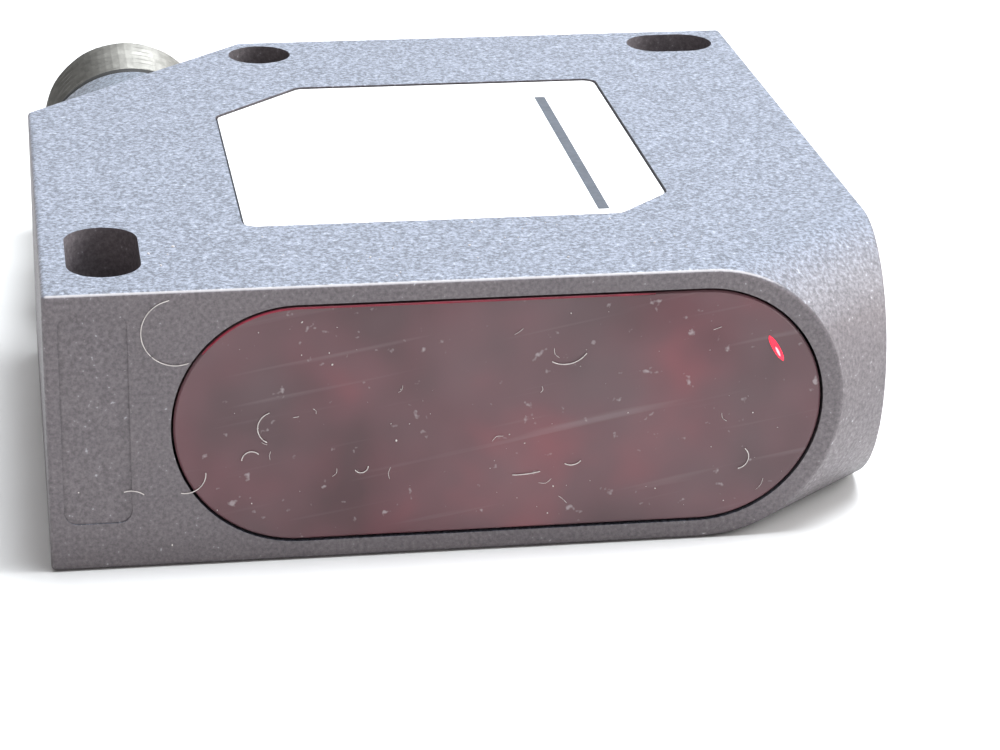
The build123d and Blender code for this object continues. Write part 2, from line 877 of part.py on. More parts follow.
with BuildPart() as swivel_elbow:
    with BuildSketch(swivel_seat):
        Circle(elbow_radius)
    extrude(amount=elbow_flange)
    with Locations(pivot):
        Sphere(elbow_radius)
    with BuildSketch(connector_axis.offset(pivot[1])):
        Circle(neck_radius)
    extrude(amount=neck_end - pivot[1])
    split(bisect_by=swivel_seat.offset(seat_gap), keep=Keep.TOP)
    # hollow stem through the chamfer wall, grooved for its seal and its retaining ring
    with BuildSketch(swivel_seat.offset(-stem_depth)):
        Circle(stem_radius)
    extrude(amount=stem_depth + seat_gap)
    for groove_depth, groove_width, floor_radius in (
        (ring_depth, ring_groove_width, ring_groove_radius),
        (retainer_front + retainer_thickness / 2, retainer_groove_width, retainer_groove_radius),
    ):
        with BuildSketch(swivel_seat.offset(-groove_depth)):
            Circle(stem_radius + groove_overcut)
            Circle(floor_radius, mode=Mode.SUBTRACT)
        extrude(amount=groove_width / 2, both=True, mode=Mode.SUBTRACT)
    with BuildSketch(swivel_seat.offset(-stem_depth)):
        Circle(stem_bore_radius)
    extrude(amount=stem_depth + stem_bore_overrun, mode=Mode.SUBTRACT)
    with BuildSketch(connector_axis.offset(neck_end)):
        Circle(neck_bore_radius)
    extrude(amount=-(neck_end - pivot[1] - neck_bore_floor), mode=Mode.SUBTRACT)
    neck_rim = edges().filter_by(GeomType.CIRCLE).group_by(Axis.Y)[-1].sort_by(SortBy.RADIUS)[-1]
    fillet(neck_rim, neck_rounding)

with BuildPart() as swivel_oring:
    with BuildSketch(Plane(origin=pivot, x_dir=(-1, -1, 0), z_dir=(0, 0, 1))):
        with Locations((ring_groove_radius + touch_gap + ring_section, ring_depth)):
            Circle(ring_section)
    revolve(axis=Axis(pivot, (-1, 1, 0)))

with BuildPart() as swivel_retainer:
    with BuildSketch(swivel_seat.offset(-retainer_front)):
        Circle(retainer_radius)
        Circle(retainer_bore_radius, mode=Mode.SUBTRACT)
        with Locations((retainer_mouth_x, 0)):
            Rectangle(retainer_mouth_reach, retainer_mouth_width, mode=Mode.SUBTRACT)
    extrude(amount=-retainer_thickness)

with BuildPart() as connector_sleeve:
    with BuildSketch(Plane(origin=(pivot[0], 0, mid), x_dir=(1, 0, 0), z_dir=(0, 0, 1))):
        with BuildLine():
            Polyline(
                (tail_bore_radius, sleeve_tail),
                (neck_bore_radius - touch_gap, sleeve_tail),
                (neck_bore_radius - touch_gap, neck_end),
                (thread_radius, neck_end),
                (thread_radius, neck_end + flange_lip),
                (relief_radius, neck_end + flange_lip),
                (relief_radius, neck_end + flange_lip + thread_relief),
                (thread_radius, neck_end + flange_lip + thread_relief + thread_bevel),
                (thread_radius, thread_end - thread_bevel),
                (thread_radius - thread_bevel, thread_end),
                (cup_radius, thread_end),
                (cup_radius, cup_floor),
                (tail_bore_radius, cup_floor),
                close=True,
            )
        make_face()
    revolve(axis=Axis((pivot[0], 0, mid), (0, 1, 0)))
    # coding key inside the cup
    with BuildSketch(connector_axis.offset(key_start)):
        with Locations((0, cup_radius - key_bite)):
            Rectangle(key_width, key_height)
    extrude(amount=thread_end - key_setback - key_start)

with BuildPart() as contact_carrier:
    with BuildSketch(connector_axis.offset(insert_tail)):
        Circle(insert_radius)
    extrude(amount=cup_floor - insert_tail)
    with BuildSketch(connector_axis.offset(cup_floor + touch_gap)):
        Circle(cup_radius - insert_gap)
    extrude(amount=insert_face_height)
    with BuildSketch(connector_axis.offset(cup_floor)):
        Circle(insert_radius)
    extrude(amount=insert_neck_overlap)
    with BuildSketch(connector_axis.offset(insert_tail)):
        with PolarLocations(pin_circle, 4, start_angle=45):
            Circle(contact_radius + touch_gap)
    extrude(amount=contact_hole_length, mode=Mode.SUBTRACT)

with BuildPart() as contact_pins:
    with BuildSketch(connector_axis.offset(contact_tail)):
        with PolarLocations(pin_circle, 4, start_angle=45):
            Circle(contact_radius)
    extrude(amount=thread_end - contact_setback - contact_tail)
    fillet(edges().group_by(Axis.Y)[-1], contact_tip_rounding)

with BuildPart() as connector_oring:
    with BuildSketch(Plane(origin=(pivot[0], 0, mid), x_dir=(1, 0, 0), z_dir=(0, 0, 1))):
        with Locations((connector_ring_radius, connector_ring_y)):
            Circle(connector_ring_section)
    revolve(axis=Axis((pivot[0], 0, mid), (0, 1, 0)))

# --------------------------------------------------------------------------- wires
wire_radius = 0.35
wire_start_depth = 0.4
wire_turn_depth = 6.6
wire_start = swivel_seat.offset(-wire_start_depth)
wire_turn = swivel_seat.offset(-wire_turn_depth)
wire_pad_spread = 1.6
wire_spacing = 0.75
wire_reach = {wire_spacing: 11.0, -wire_spacing: 9.0}

with BuildPart() as lead_wires:
    for u, v in [(u, v) for u in (-wire_spacing, wire_spacing) for v in wire_reach]:
        tip = wire_start.from_local_coords((u, v, 0))
        bend = wire_turn.from_local_coords((u, v, 0))
        pad = swivel_seat.offset(-wire_reach[v]).from_local_coords((wire_pad_spread * u, 0, 0))
        with BuildLine() as lead:
            Line(tip, bend)
            Spline(bend, (pad.X, pad.Y, board_top), tangents=[(1, -1, 0), (0, 0, -1)])
        with BuildSketch(wire_start * Location((u, v, 0))):
            Circle(wire_radius)
        sweep(path=lead.wires()[0])

# --------------------------------------------------------------------------- label
with BuildPart() as type_label:
    with BuildSketch(level(thickness - label_recess)):
        add(label_outline(0))
    extrude(amount=label_thickness)

parts = {
    "housing": housing,
    "flank_cover": flank_cover,
    "cover_seal": cover_seal,
    "cover_screws": cover_screws,
    "front_window": front_window,
    "window_seal": window_seal,
    "lens_carrier": lens_carrier,
    "receiver_lens": receiver_lens,
    "emitter_lens": emitter_lens,
    "carrier_screws": carrier_screws,
    "optics_board": optics_board,
    "photodiode": photodiode,
    "receiver_shield": receiver_shield,
    "emitter_led": emitter_led,
    "main_board": main_board,
    "board_screws": board_screws,
    "microcontroller": microcontroller,
    "output_driver": output_driver,
    "smoothing_capacitor": smoothing_capacitor,
    "inductor": inductor,
    "chip_parts": chip_parts,
    "header_block": header_block,
    "header_pins": header_pins,
    "green_led": green_led,
    "yellow_led": yellow_led,
    "green_light_guide": green_light_guide,
    "yellow_light_guide": yellow_light_guide,
    "trimmer_body": trimmer_body,
    "trimmer_rotor": trimmer_rotor,
    "adjuster_screw": adjuster_screw,
    "adjuster_seal": adjuster_seal,
    "adjuster_clip": adjuster_clip,
    "swivel_elbow": swivel_elbow,
    "swivel_oring": swivel_oring,
    "swivel_retainer": swivel_retainer,
    "connector_sleeve": connector_sleeve,
    "contact_carrier": contact_carrier,
    "contact_pins": contact_pins,
    "connector_oring": connector_oring,
    "lead_wires": lead_wires,
    "type_label": type_label,
}
for node_name, builder in parts.items():
    builder.part.label = node_name
    export_step(builder.part, f"parts/{node_name}.step")
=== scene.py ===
import json
import math
import random

import bmesh
import bpy
from mathutils import Matrix, Vector


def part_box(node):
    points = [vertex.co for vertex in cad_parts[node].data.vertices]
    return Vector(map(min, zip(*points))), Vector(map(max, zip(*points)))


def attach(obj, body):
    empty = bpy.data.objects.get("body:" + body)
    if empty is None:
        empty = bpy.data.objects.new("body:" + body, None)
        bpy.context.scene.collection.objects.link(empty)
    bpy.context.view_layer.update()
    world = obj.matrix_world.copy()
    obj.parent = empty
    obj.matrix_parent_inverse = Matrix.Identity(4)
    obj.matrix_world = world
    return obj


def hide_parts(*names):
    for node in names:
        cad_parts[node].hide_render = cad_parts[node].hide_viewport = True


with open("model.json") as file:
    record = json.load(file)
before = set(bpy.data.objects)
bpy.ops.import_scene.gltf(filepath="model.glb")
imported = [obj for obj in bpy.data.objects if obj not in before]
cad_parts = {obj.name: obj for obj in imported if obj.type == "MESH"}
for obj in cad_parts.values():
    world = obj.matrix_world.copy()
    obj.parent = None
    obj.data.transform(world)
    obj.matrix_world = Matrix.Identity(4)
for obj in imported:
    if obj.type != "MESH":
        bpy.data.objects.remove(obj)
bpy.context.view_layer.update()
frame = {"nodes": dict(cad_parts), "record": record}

MM = 0.001
ROOT = "sensor_body"
PLUG = "connector"

housing_low, housing_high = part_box("housing")
window_low, window_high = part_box("front_window")
label_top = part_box("type_label")[1].z
sleeve_low, sleeve_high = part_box("connector_sleeve")

front_y = window_low.y
mid_z = (housing_low.z + housing_high.z) / 2
window_radius = (window_high.z - window_low.z) / 2
window_left = window_low.x + window_radius
window_right = window_high.x - window_radius


# ---------------------------------------------------------------- materials
def shader(name):
    """A new node material and its Principled shader."""
    material = bpy.data.materials.new(name)
    material.use_nodes = True
    return material, material.node_tree.nodes["Principled BSDF"]


def add_node(material, kind, **inputs):
    """A shader node with some of its inputs set by name, spaces written as underscores."""
    node = material.node_tree.nodes.new(kind)
    for key, value in inputs.items():
        node.inputs[key.replace("_", " ")].default_value = value
    return node


def link(material, source, target):
    material.node_tree.links.new(source, target)


def place(material, stretch=(1, 1, 1), turn=(0, 0, 0)):
    """Row-frame coordinates in metres, turned and then stretched."""
    source = add_node(material, "ShaderNodeTexCoord")
    turned = add_node(material, "ShaderNodeMapping", Rotation=turn)
    stretched = add_node(material, "ShaderNodeMapping", Scale=stretch)
    link(material, source.outputs["Object"], turned.inputs["Vector"])
    link(material, turned.outputs["Vector"], stretched.inputs["Vector"])
    return stretched.outputs["Vector"]


def noise(material, where, scale, detail=3.0, roughness=0.6):
    node = add_node(material, "ShaderNodeTexNoise", Scale=scale, Detail=detail, Roughness=roughness)
    link(material, where, node.inputs["Vector"])
    return node.outputs["Fac"]


def ramp(material, value, stops):
    """Colour ramp through (position, colour) stops."""
    node = add_node(material, "ShaderNodeValToRGB")
    elements = node.color_ramp.elements
    elements[0].position, elements[0].color = stops[0][0], (*stops[0][1], 1)
    elements[1].position, elements[1].color = stops[-1][0], (*stops[-1][1], 1)
    for position, colour in stops[1:-1]:
        elements.new(position).color = (*colour, 1)
    link(material, value, node.inputs["Fac"])
    return node.outputs["Color"]


def mixed(material, amount, first, second, blend="MIX"):
    """Mix of two colours; each may be a socket or a colour."""
    node = material.node_tree.nodes.new("ShaderNodeMix")
    node.data_type = "RGBA"
    node.blend_type = blend
    sockets = [s for s in node.inputs if s.type == "RGBA"]
    for socket, value in zip(sockets, (first, second)):
        if isinstance(value, bpy.types.NodeSocket):
            link(material, value, socket)
        else:
            socket.default_value = (*value, 1)
    if isinstance(amount, bpy.types.NodeSocket):
        link(material, amount, node.inputs["Factor"])
    else:
        node.inputs["Factor"].default_value = amount
    return [s for s in node.outputs if s.type == "RGBA"][0]


def bumps(material, bsdf, height, strength, distance):
    node = add_node(material, "ShaderNodeBump", Strength=strength, Distance=distance)
    link(material, height, node.inputs["Height"])
    link(material, node.outputs["Normal"], bsdf.inputs["Normal"])


def shade(colour, factor):
    return tuple(min(1.0, c * factor) for c in colour)


def finish(name, colour, roughness, grain=900.0, depth=0.02, metallic=0.0, spread=0.12, gloss=0.5):
    """Moulded, cast or plated surface: slight colour mottling, uneven gloss and a fine relief."""
    material, bsdf = shader(name)
    where = place(material)
    mottle = noise(material, where, grain)
    colours = ((0.3, shade(colour, 1 - spread)), (0.7, shade(colour, 1 + spread)))
    link(material, ramp(material, mottle, colours), bsdf.inputs["Base Color"])
    sheen = noise(material, where, grain / 6)
    low, high = max(0.02, roughness - 0.06), min(1.0, roughness + 0.08)
    uneven = ramp(material, sheen, ((0.3, (low,) * 3), (0.7, (high,) * 3)))
    link(material, uneven, bsdf.inputs["Roughness"])
    bsdf.inputs["Metallic"].default_value = metallic
    bsdf.inputs["Specular IOR Level"].default_value = gloss
    bumps(material, bsdf, mottle, 0.5, depth * MM)
    return material


def textured_paint(name, colour):
    """Speckled powder coat: fine pits and flecks, painted shade deep inside the holes, a painted pale
    bluish sheen on upward faces and a painted highlight along the top front rounding.
    """
    material, bsdf = shader(name)
    where = place(material)
    grain = noise(material, where, 4200.0, 4.0, 0.7)
    clouds = noise(material, where, 260.0, 3.0, 0.6)
    fine = ramp(material, grain, ((0.36, shade(colour, 0.76)), (0.5, colour), (0.64, shade(colour, 1.3))))
    flecks = ramp(material, grain, ((0.38, shade(colour, 0.55)), (0.5, colour), (0.62, shade(colour, 1.6))))
    patches = ramp(material, clouds, ((0.3, (0.93, 0.93, 0.94)), (0.7, (1.05, 1.05, 1.04))))
    coat = mixed(material, 1.0, fine, patches, "MULTIPLY")
    # painted sheen: upward faces are painted paler and bluish, for the light falling on them from above
    geometry = add_node(material, "ShaderNodeNewGeometry")
    split = add_node(material, "ShaderNodeSeparateXYZ")
    link(material, geometry.outputs["Normal"], split.inputs["Vector"])
    upward = ramp(material, split.outputs["Z"], ((0.35, (0, 0, 0)), (0.98, (1, 1, 1))))
    dust = mixed(material, 1.0, flecks, top_sheen_tint, "MULTIPLY")
    coat = mixed(material, upward, coat, dust)
    # a few metallic flakes, with their glints painted pale into the base colour
    scattered = noise(material, where, 4200.0, 1.0, 0.4)
    flakes = ramp(material, scattered, ((0.73, (0, 0, 0)), (0.80, (0.4,) * 3)))
    coat = mixed(material, flakes, coat, flake_glint_colour)
    # painted highlight: faces that look halfway up and forward, as the small rounding along the top of the
    # front, are painted bright
    facing = add_node(material, "ShaderNodeMath")
    facing.operation = "MULTIPLY"
    link(material, split.outputs["Y"], facing.inputs[0])
    link(material, split.outputs["Z"], facing.inputs[1])
    edge_highlight = add_node(material, "ShaderNodeMapRange")
    edge_highlight.inputs["From Min"].default_value = edge_highlight_start
    edge_highlight.inputs["From Max"].default_value = edge_highlight_full
    edge_highlight.inputs["To Max"].default_value = edge_highlight_amount
    link(material, facing.outputs["Value"], edge_highlight.inputs["Value"])
    coat = mixed(material, edge_highlight.outputs["Result"], coat, edge_highlight_colour)
    # painted shade: deep holes are darkened through ambient occlusion in the base colour
    cavity = add_node(material, "ShaderNodeAmbientOcclusion", Distance=hole_reach)
    cavity.samples = 4
    shadow = ramp(material, cavity.outputs["AO"], ((0.12, (0.12, 0.12, 0.13)), (0.42, (1, 1, 1))))
    coat = mixed(material, 1.0, coat, shadow, "MULTIPLY")
    link(material, coat, bsdf.inputs["Base Color"])
    gloss = ramp(material, grain, ((0.3, (0.62,) * 3), (0.72, (0.38,) * 3)))
    link(material, gloss, bsdf.inputs["Roughness"])
    bsdf.inputs["Specular IOR Level"].default_value = 0.45
    bumps(material, bsdf, grain, 0.3, 0.03 * MM)
    return material


def clear_material(name, colour, roughness, alpha):
    """Clear plastic or glass with a slightly uneven surface."""
    material, bsdf = shader(name)
    where = place(material)
    wave = noise(material, where, 300.0)
    tint = ramp(material, wave, ((0.3, shade(colour, 0.9)), (0.7, colour)))
    link(material, tint, bsdf.inputs["Base Color"])
    bsdf.inputs["Roughness"].default_value = roughness
    bsdf.inputs["Transmission Weight"].default_value = alpha
    bsdf.inputs["IOR"].default_value = 1.49
    bumps(material, bsdf, wave, 0.1, 0.01 * MM)
    return material


def window_material(name):
    """Dark red window seen through a dusty, wiped surface: deep red, grey haze, streaks and smudges."""
    material, bsdf = shader(name)
    where = place(material)
    depths = noise(material, where, 150.0, 2.0, 0.5)
    inside = ramp(material, depths, ((0.34, window_dark), (0.55, window_red), (0.75, window_glow)))
    # wiping streaks run almost level and rise slightly towards the head end
    level = place(material, (55, 1, 1300), (0, math.radians(10), 0))
    streaks = noise(material, level, 1.0, 2.0, 0.5)
    wiped = ramp(material, streaks, ((0.60, (0, 0, 0)), (0.82, (0.22,) * 3)))
    smudges = noise(material, where, 90.0, 2.0, 0.5)
    hazy = ramp(material, smudges, ((0.3, (0.22,) * 3), (0.7, (0.72,) * 3)))
    film = mixed(material, hazy, inside, window_haze)
    film = mixed(material, wiped, film, window_wipe)
    specks = noise(material, where, 1500.0, 2.0, 0.5)
    spotted = ramp(material, specks, ((0.69, (0, 0, 0)), (0.78, (0.6,) * 3)))
    film = mixed(material, spotted, film, window_wipe)
    link(material, film, bsdf.inputs["Base Color"])
    bsdf.inputs["Roughness"].default_value = 0.3
    bsdf.inputs["Specular IOR Level"].default_value = 0.35
    bsdf.inputs["Transmission Weight"].default_value = 0.0
    bumps(material, bsdf, specks, 0.08, 0.01 * MM)
    return material


def glowing(name, colour, strength):
    """Emissive red plastic with an uneven brightness, used for painted red glow and glints."""
    material, bsdf = shader(name)
    where = place(material)
    level = ramp(material, noise(material, where, 700.0), ((0.3, shade(colour, 0.6)), (0.7, colour)))
    link(material, level, bsdf.inputs["Base Color"])
    link(material, level, bsdf.inputs["Emission Color"])
    bsdf.inputs["Emission Strength"].default_value = strength
    bsdf.inputs["Roughness"].default_value = 0.4
    return material


paint_colour = (0.145, 0.128, 0.138)
elbow_colour = (0.110, 0.102, 0.110)
# reach of the painted shade inside the holes
hole_reach = 5 * MM
# painted sheen on upward faces, paler and bluish
top_sheen_tint = (1.16, 1.45, 1.66)
# pale colour of the painted flake glints
flake_glint_colour = (0.60, 0.62, 0.66)
# painted highlight on faces that look halfway up and forward: its colour, where it starts and is full, and
# its strength
edge_highlight_colour = (0.46, 0.44, 0.45)
# product of a normal's y and z, which is -0.5 where a rounding faces halfway up and forward
edge_highlight_start = -0.41
edge_highlight_full = -0.48
edge_highlight_amount = 0.75
sleeve_tone = (0.17, 0.166, 0.155)
window_dark = (0.060, 0.018, 0.022)
window_red = (0.130, 0.034, 0.044)
window_glow = (0.27, 0.045, 0.058)
window_haze = (0.155, 0.112, 0.122)
window_wipe = (0.42, 0.38, 0.39)

materials = {
    "housing_paint": textured_paint("housing_paint", paint_colour),
    "elbow_paint": textured_paint("elbow_paint", elbow_colour),
    "cover_paint": finish("cover_paint", (0.10, 0.10, 0.12), 0.5, 2400.0, 0.04, spread=0.35),
    "seal_rubber": finish("seal_rubber", (0.018, 0.018, 0.018), 0.75, 1500.0, 0.02),
    "screw_steel": finish("screw_steel", (0.56, 0.56, 0.58), 0.32, 1800.0, 0.01, metallic=1.0),
    "window_red": window_material("window_red"),
    "black_plastic": finish("black_plastic", (0.02, 0.02, 0.02), 0.6, 1400.0, 0.02),
    "lens_clear": clear_material("lens_clear", (0.94, 0.96, 0.98), 0.04, 1.0),
    "board_green": finish("board_green", (0.015, 0.12, 0.05), 0.35, 500.0, 0.01, spread=0.25),
    "chip_black": finish("chip_black", (0.03, 0.03, 0.032), 0.5, 2600.0, 0.01),
    "shield_tin": finish("shield_tin", (0.68, 0.68, 0.66), 0.3, 900.0, 0.01, metallic=1.0),
    "led_red": clear_material("led_red", (0.75, 0.04, 0.05), 0.1, 0.5),
    "capacitor_can": finish("capacitor_can", (0.72, 0.73, 0.75), 0.28, 1200.0, 0.01, metallic=1.0),
    "ceramic_chip": finish("ceramic_chip", (0.36, 0.27, 0.18), 0.55, 2600.0, 0.01, spread=0.3),
    "contact_gold": finish("contact_gold", (0.86, 0.62, 0.24), 0.22, 1500.0, 0.005, metallic=1.0),
    "led_white": finish("led_white", (0.80, 0.80, 0.76), 0.35, 900.0, 0.01),
    "guide_green": clear_material("guide_green", (0.25, 0.80, 0.32), 0.12, 0.6),
    "guide_yellow": clear_material("guide_yellow", (0.95, 0.70, 0.10), 0.12, 0.6),
    "trimmer_blue": finish("trimmer_blue", (0.03, 0.12, 0.42), 0.45, 1500.0, 0.01),
    "rotor_white": finish("rotor_white", (0.78, 0.78, 0.74), 0.4, 1500.0, 0.01),
    "adjuster_plastic": finish("adjuster_plastic", (0.07, 0.07, 0.075), 0.42, 1500.0, 0.01, spread=0.25),
    "sleeve_nickel": finish("sleeve_nickel", sleeve_tone, 0.56, 1500.0, 0.01, metallic=1.0, spread=0.18),
    "contact_black": finish("contact_black", (0.03, 0.03, 0.03), 0.5, 1500.0, 0.01),
    "wire_sheath": finish("wire_sheath", (0.22, 0.11, 0.05), 0.5, 900.0, 0.01),
    "label_white": finish("label_white", (0.86, 0.86, 0.86), 0.45, 1200.0, 0.006, spread=0.03),
}
print_ink = finish("print_ink", (0.070, 0.080, 0.100), 0.6, 2200.0, 0.004, spread=0.2)
scale_ink = finish("scale_ink", (0.75, 0.75, 0.74), 0.6, 2200.0, 0.004, spread=0.1)
dust_fibre = finish("dust_fibre", (0.60, 0.56, 0.54), 0.8, 2500.0, 0.01, spread=0.15)
# emissive red for the painted glow along the window's upper edge and the painted glints
red_edge_glow = glowing("red_edge_glow", (0.16, 0.005, 0.02), 0.5)
red_spot = glowing("red_spot", (1.0, 0.02, 0.06), 1.3)
red_core = glowing("red_core", (1.0, 0.45, 0.50), 1.6)

slots = {entry["node"]: entry["material_slot"] for entry in frame["record"]["subparts"]}
for node_name, node_object in frame["nodes"].items():
    node_object.data.materials.clear()
    node_object.data.materials.append(materials[slots[node_name]])


# ---------------------------------------------------------------- pieces
def add_piece(name, mesh, material, body, smooth=True):
    """Puts a finished bmesh into the scene, riding a CAD body."""
    data = bpy.data.meshes.new(name)
    mesh.to_mesh(data)
    mesh.free()
    for polygon in data.polygons:
        polygon.use_smooth = smooth
    piece = bpy.data.objects.new(name, data)
    bpy.context.scene.collection.objects.link(piece)
    data.materials.append(material)
    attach(piece, body)
    return piece


def lofted(mesh, rings, closed_around=True):
    """Skins rings of points, each ring with the same number of points."""
    rows = [[mesh.verts.new(point) for point in ring] for ring in rings]
    count = len(rows[0])
    for row, following in zip(rows, rows[1:]):
        for i in range(count if closed_around else count - 1):
            j = (i + 1) % count
            mesh.faces.new((row[i], row[j], following[j], following[i]))
    return rows


def strand(mesh, points, radius, sides=6):
    """Thin fibre through points given in the row frame."""
    rings = []
    for index, point in enumerate(points):
        ahead = points[min(index + 1, len(points) - 1)]
        behind = points[max(index - 1, 0)]
        along = (ahead - behind).normalized()
        across = along.orthogonal().normalized()
        other = along.cross(across)
        taper = radius * (0.45 if index in (0, len(points) - 1) else 1.0)
        turn = [2 * math.pi * k / sides for k in range(sides)]
        rings.append([point + taper * (math.cos(a) * across + math.sin(a) * other) for a in turn])
    rows = lofted(mesh, rings)
    mesh.faces.new(rows[0])
    mesh.faces.new(rows[-1])


def smooth_path(points, steps=5):
    """Catmull-Rom curve through the points."""
    padded = [points[0], *points, points[-1]]
    path = []
    for a, b, c, d in zip(padded, padded[1:], padded[2:], padded[3:]):
        for k in range(steps):
            t = k / steps
            linear = 0.5 * (2 * b + (c - a) * t)
            curved = 0.5 * ((2 * a - 5 * b + 4 * c - d) * t**2 + (3 * b - a - 3 * c + d) * t**3)
            path.append(linear + curved)
    path.append(points[-1])
    return path


def on_front(x, z, lift=0.06):
    """Point in millimetres just clear of the front face."""
    return Vector((x * MM, front_y - lift * MM, z * MM))


def on_flank(x, y, lift=0.06):
    """Point in millimetres just clear of the upper flank."""
    return Vector((x * MM, y * MM, housing_high.z + lift * MM))


def bent_path(surface, start, heading, bend, reach, steps=10):
    """Points on a surface from a start, along a heading that bends steadily."""
    u, v = start
    points = [surface(u, v)]
    for step in range(steps):
        angle = math.radians(heading + bend * (step + 0.5) / steps)
        u += reach / steps * math.cos(angle)
        v += reach / steps * math.sin(angle)
        points.append(surface(u, v))
    return points


def fibre(name, points, radius=0.03):
    """One dust fibre through row-frame points."""
    mesh = bmesh.new()
    strand(mesh, smooth_path(points), radius * MM)
    return add_piece(name, mesh, dust_fibre, ROOT)


def flat_patch(mesh, outline, normal, thickness):
    """Thin raised patch over an outline that lies on the surface."""
    lower = [mesh.verts.new(point) for point in outline]
    upper = [mesh.verts.new(point + thickness * normal) for point in outline]
    mesh.faces.new(upper)
    mesh.faces.new(list(reversed(lower)))
    for i in range(len(outline)):
        j = (i + 1) % len(outline)
        mesh.faces.new((lower[i], lower[j], upper[j], upper[i]))


def arc_band(centre, inner, outer, start, stop, plane, steps=24):
    """Outline of a band between two radii, tapering to nothing at both ends."""
    outline = []
    for side, order in ((1, range(steps + 1)), (-1, range(steps - 1, 0, -1))):
        for k in order:
            t = k / steps
            angle = math.radians(start + (stop - start) * t)
            swell = math.sin(math.pi * t) * (outer - inner) / 2
            radius = (inner + outer) / 2 + side * swell
            u = centre[0] + radius * math.cos(angle)
            v = centre[1] + radius * math.sin(angle)
            outline.append(plane(u, v))
    return outline


# the label carries one plain straight bar; its marks and text are left out
ink_height = 0.012 * MM
bar_left, bar_right = 8.85, 9.55
bar_front, bar_back = -13.4, 10.0
bar_corners = ((bar_left, bar_front), (bar_right, bar_front), (bar_right, bar_back), (bar_left, bar_back))
bar_outline = [Vector((x * MM, y * MM, label_top)) for x, y in bar_corners]
label_bar = bmesh.new()
flat_patch(label_bar, bar_outline, Vector((0, 0, 1)), ink_height)
add_piece("label_bar", label_bar, print_ink, ROOT, smooth=False)

# plain scale printed round the adjuster on the head end
adjuster_low, adjuster_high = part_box("adjuster_screw")
adjuster_y = (adjuster_low.y + adjuster_high.y) / 2 / MM
adjuster_z = (adjuster_low.z + adjuster_high.z) / 2 / MM


def on_head(y, z):
    return Vector((housing_high.x, y * MM, z * MM))


outward = Vector((1, 0, 0))
dial_inner, dial_outer = 3.3, 3.8
dial_start, dial_step, dial_marks = -45, 45, 7
dial_stop = dial_start + dial_step * (dial_marks - 1)
mark_inner, mark_outer = 4.1, 4.7
mark_half = 0.07
head_scale = bmesh.new()
dial_middle = (adjuster_y, adjuster_z)
dial = arc_band(dial_middle, dial_inner, dial_outer, dial_start, dial_stop, on_head, 40)
flat_patch(head_scale, dial, outward, ink_height)
for mark in range(dial_marks):
    mark_angle = math.radians(dial_start + dial_step * mark)
    radial = Vector((0, math.cos(mark_angle), math.sin(mark_angle)))
    sideways = Vector((0, -math.sin(mark_angle), math.cos(mark_angle)))
    centre = on_head(adjuster_y, adjuster_z)
    near_side = ((mark_inner, -mark_half), (mark_outer, -mark_half))
    corners = (*near_side, (mark_outer, mark_half), (mark_inner, mark_half))
    outline = [centre + r * MM * radial + s * MM * sideways for r, s in corners]
    flat_patch(head_scale, outline, outward, ink_height)
add_piece("head_scale", head_scale, scale_ink, ROOT, smooth=False)

# painted red glow: an emissive strand along the upper edge of the window, for red light caught there
edge_points = []
edge_radius = window_radius - 0.05 * MM
edge_thickness = 0.07 * MM
edge_start, edge_sweep = 140, 50
arc_steps, straight_steps = 12, 16
for k in range(arc_steps + 1):
    angle = math.radians(edge_start - edge_sweep * k / arc_steps)
    edge_x = window_left + edge_radius * math.cos(angle)
    edge_points.append(Vector((edge_x, front_y, mid_z + edge_radius * math.sin(angle))))
for k in range(1, straight_steps - 1):
    edge_x = window_left + (window_right - window_left) * k / straight_steps
    edge_points.append(Vector((edge_x, front_y, mid_z + edge_radius)))
window_edge = bmesh.new()
strand(window_edge, edge_points, edge_thickness, 8)
add_piece("window_edge_glow", window_edge, red_edge_glow, ROOT)


def glint(name, material, centre_x, centre_z, half_length, half_width, lean, lift):
    """Leaning spindle-shaped glint on the window, sizes in millimetres."""
    steps, sides = 8, 10
    mesh = bmesh.new()
    rings = []
    for k in range(steps + 1):
        t = -1 + 2 * k / steps
        width = half_width * math.sqrt(max(0.02, 1 - t * t))
        x = centre_x + lean * half_length * t
        z = centre_z - half_length * t
        ring = []
        for i in range(sides):
            a = 2 * math.pi * i / sides
            ring_x = x + width * math.cos(a)
            ring.append(Vector((ring_x * MM, front_y - lift * math.sin(a) * MM, z * MM)))
        rings.append(ring)
    rows = lofted(mesh, rings)
    mesh.faces.new(rows[0])
    mesh.faces.new(rows[-1])
    return add_piece(name, mesh, material, ROOT)


spot_sizes = {"half_length": 0.8, "half_width": 0.24, "lean": 0.55, "lift": 0.05}
core_sizes = {"half_length": 0.3, "half_width": 0.09, "lean": 0.5, "lift": 0.09}
glint("red_glint", red_spot, centre_x=17.35, centre_z=11.95, **spot_sizes)
glint("red_glint_core", red_core, centre_x=17.45, centre_z=11.75, **core_sizes)

# one long curl left of the window, an arc in rounded millimetres close to the photograph's
curl_x, curl_z = -17.5, 14.5
curl_radius = 2.0
curl_start, curl_step, curl_steps = 100, 19, 10
curl_points = []
for k in range(curl_steps + 1):
    angle = math.radians(curl_start + curl_step * k)
    point_x = curl_x + curl_radius * math.cos(angle)
    curl_points.append(on_front(point_x, curl_z + curl_radius * math.sin(angle)))
fibre("fibre_curl", curl_points)


def long_fibres(count, seed):
    """Bent dust fibres at seeded places on the front face and the window."""
    source = random.Random(seed)
    for index in range(count):
        start = (source.uniform(-20.0, 15.5), source.uniform(3.5, 13.5))
        heading = source.uniform(0, 360)
        bend = source.uniform(-150, 150)
        reach = source.uniform(1.0, 2.6)
        fibre(f"fibre_{index + 1}", bent_path(on_front, start, heading, bend, reach))


long_fibres(count=9, seed=31)


